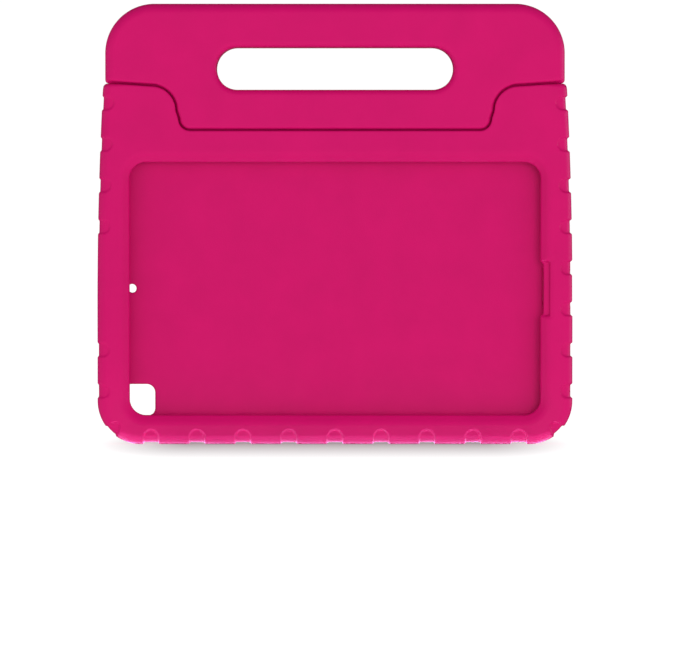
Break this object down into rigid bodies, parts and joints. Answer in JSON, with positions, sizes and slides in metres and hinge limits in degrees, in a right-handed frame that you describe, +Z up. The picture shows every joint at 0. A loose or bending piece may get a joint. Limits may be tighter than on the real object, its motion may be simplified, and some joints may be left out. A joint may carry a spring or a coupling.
{
  "type": "tablet case",
  "caption": "Moulded foam tablet case with a screen window, scalloped edges and a carry handle that tips back to prop it up as a stand.",
  "frame": {"origin": "middle of the bottom edge on which the case stands, half way through its thickness", "axes": "+X to the viewer's right across the width, the screen side faces -Y and the plain back +Y, +Z up towards the handle"},
  "size_m": [0.279, 0.025, 0.2584],
  "materials": {
    "foam": "matte closed-cell EVA foam, magenta, with a fine moulded grain",
    "nylon": "black moulded nylon",
    "bush_rubber": "matte black",
    "pin_steel": "satin"
  },
  "bodies": {
    "case": {"case_shell": "foam", "ear_sleeve_left": "nylon", "ear_sleeve_right": "nylon", "pivot_pin_left": "pin_steel", "pivot_pin_right": "pin_steel"},
    "handle": {"carry_handle": "foam", "handle_sleeve_left": "nylon", "handle_sleeve_right": "nylon", "friction_bush_left": "bush_rubber", "friction_bush_right": "bush_rubber"}
  },
  "joints": [
    {"name": "handle_tilt", "type": "hinge", "parent": "case", "child": "handle", "pos_m": [0, 0, 0.1971], "axis": [-1, 0, 0], "range_deg": [0, 112]}
  ]
}
